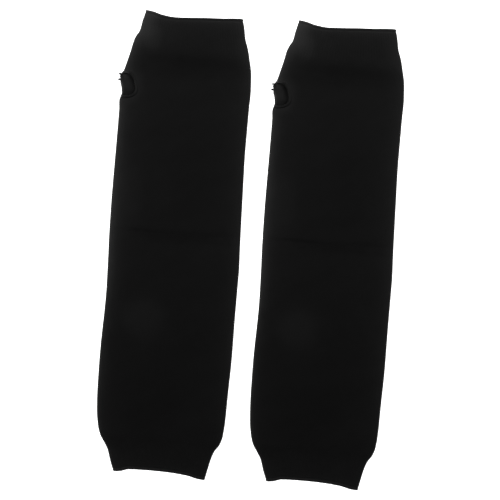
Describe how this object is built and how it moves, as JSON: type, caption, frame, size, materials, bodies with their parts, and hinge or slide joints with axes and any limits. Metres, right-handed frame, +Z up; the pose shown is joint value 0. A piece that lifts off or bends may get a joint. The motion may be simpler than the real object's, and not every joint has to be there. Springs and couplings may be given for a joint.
{
  "type": "pair of arm warmers",
  "caption": "Pair of long black knitted arm warmers lying flat side by side, each a plain tube with ribbed ends and a bound thumb hole in its left fold.",
  "frame": {"origin": "on the surface that the pair rests on, under the centre of the pair's bounding box", "axes": "+Y up the picture, roughly along the warmers towards their hand ends (each warmer lies turned 5 degrees clockwise from it); +X to the right in the picture; +Z up out of the surface, towards the camera"},
  "size_m": [0.2658, 0.415, 0.0069],
  "materials": {
    "body_knit": "near-black fine plain knit, matt, with a faint soft nap",
    "rib_knit": "near-black fine rib knit, matt",
    "binding_knit": "near-black overlocked knit binding, matt"
  },
  "bodies": {
    "root": {"left_body": "body_knit", "left_hand_cuff": "rib_knit", "left_arm_cuff": "rib_knit", "left_thumb_rim": "binding_knit", "right_body": "body_knit", "right_hand_cuff": "rib_knit", "right_arm_cuff": "rib_knit", "right_thumb_rim": "binding_knit"}
  },
  "joints": []
}
